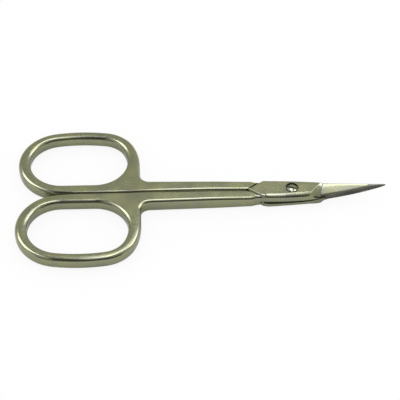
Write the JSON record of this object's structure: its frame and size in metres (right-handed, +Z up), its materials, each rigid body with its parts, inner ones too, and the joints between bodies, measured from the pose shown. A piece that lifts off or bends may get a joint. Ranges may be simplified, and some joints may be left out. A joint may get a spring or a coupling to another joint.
{
  "type": "cuticle scissors",
  "caption": "Slim steel scissors with closed finger loops, long straight shanks, a lapped screw joint and short fine blades that curve upwards.",
  "frame": {"origin": "under the middle of the closed scissors, midway between the far end of the finger loops and the tips, on the plane of the back plate's underside", "axes": "+X towards the tips, +Y towards the back half's finger loop, +Z up, the way the blades curve and the screw's head faces"},
  "size_m": [0.0903, 0.0442, 0.0045],
  "materials": {
    "nickel_steel": "polished nickel-plated steel with a soft olive-grey sheen and bright rounded edges",
    "screw_steel": "polished nickel-plated steel, turned, with a milled slot"
  },
  "bodies": {
    "back": {"back_half": "nickel_steel", "pivot_screw": "screw_steel"},
    "front": {"front_half": "nickel_steel"}
  },
  "joints": [
    {"name": "pivot", "type": "hinge", "parent": "back", "child": "front", "pos_m": [0.02215, 0, 0.00195], "axis": [0, 0, 1], "range_deg": [0, 120]}
  ]
}
